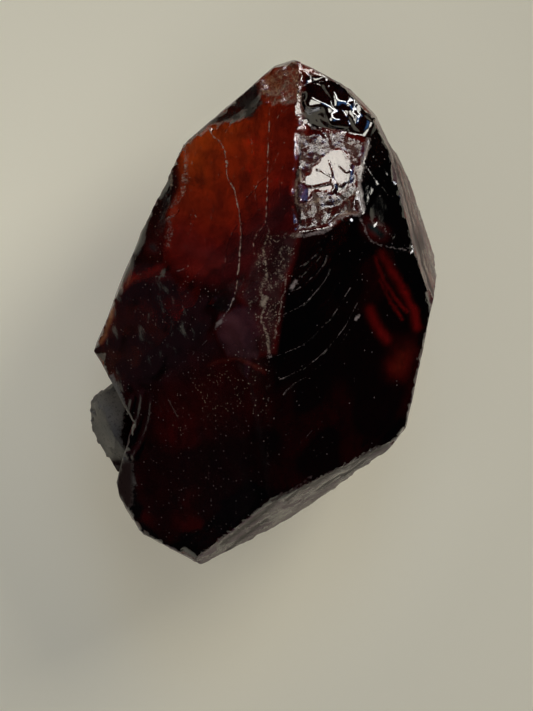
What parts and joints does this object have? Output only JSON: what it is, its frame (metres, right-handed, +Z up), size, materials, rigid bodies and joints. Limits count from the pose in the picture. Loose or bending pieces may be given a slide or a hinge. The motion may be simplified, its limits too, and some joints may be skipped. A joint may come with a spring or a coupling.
{
  "type": "garnet crystal",
  "caption": "Broken piece of rough dark red garnet with flat and conchoidal breaks, lying on a flat face on its back.",
  "frame": {"origin": "middle of the footprint box, on the plane of the flat face that the stone rests on", "axes": "+Y along the stone towards its tip, +X across it, +Z up, away from the resting face"},
  "size_m": [0.014, 0.0204, 0.0111],
  "materials": {
    "garnet": "transparent dark red crystal, glossy fresh breaks, edges frosted by fine chips"
  },
  "bodies": {
    "root": {"garnet_crystal": "garnet"}
  },
  "joints": []
}
